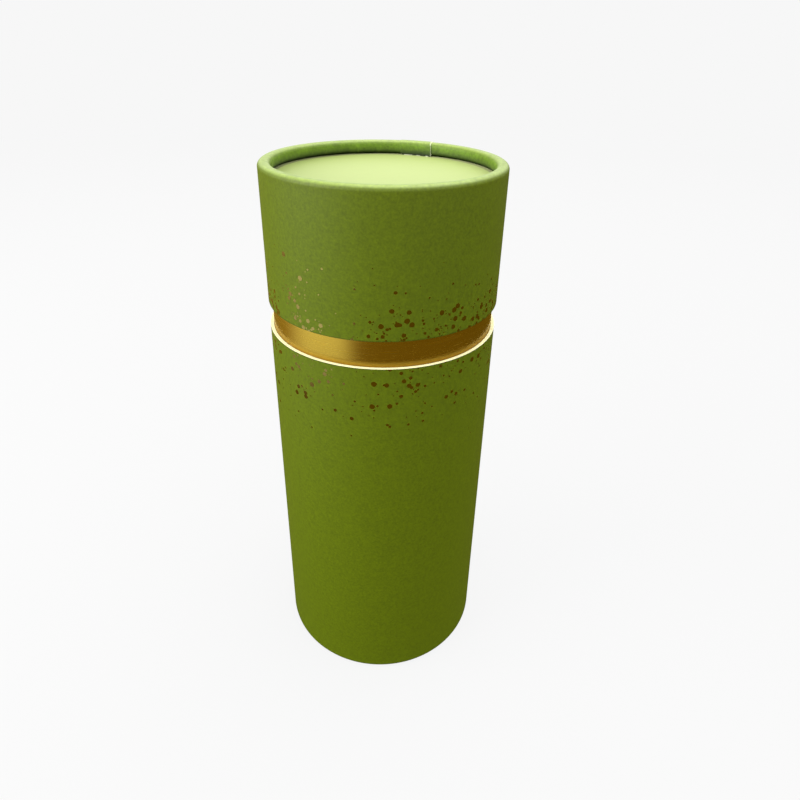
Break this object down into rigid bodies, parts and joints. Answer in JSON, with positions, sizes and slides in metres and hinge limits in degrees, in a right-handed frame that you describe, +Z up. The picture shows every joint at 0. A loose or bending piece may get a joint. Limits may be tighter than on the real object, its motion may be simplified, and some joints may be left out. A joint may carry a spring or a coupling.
{
  "type": "cylindrical gift tube box",
  "caption": "Round rigid paper tube box with rolled rims, recessed end discs, a gold foil neck and a lid that lifts off the neck.",
  "frame": {"origin": "middle of the foot's crown, on the surface the tube stands on, with the lid closed", "axes": "+Z up along the tube's axis, through the lid; -Y is the side the picture was taken from; the tube is round, so X and Y are otherwise free"},
  "size_m": [0.083, 0.083, 0.2035],
  "materials": {
    "printed_wrap": "matt printed green paper with scattered copper foil dots",
    "printed_cover": "matt printed green paper",
    "board": "dense cream-white board, wound in plies",
    "lining_paper": "plain white lining paper",
    "gold_foil": "satin gold foil on paper"
  },
  "bodies": {
    "base": {"body_tube": "board", "body_wrap": "printed_wrap", "bottom_disc_cover": "printed_cover", "bottom_disc": "board", "floor_lining": "lining_paper", "neck_tube": "board", "neck_lining": "lining_paper", "neck_foil": "gold_foil"},
    "lid": {"lid_tube": "board", "lid_wrap": "printed_wrap", "lid_disc_cover": "printed_cover", "lid_disc": "board", "lid_disc_lining": "lining_paper"}
  },
  "joints": [
    {"name": "lid_lift", "type": "slide", "parent": "base", "child": "lid", "axis": [0, 0, 1], "range_m": [0, 0.1]}
  ]
}
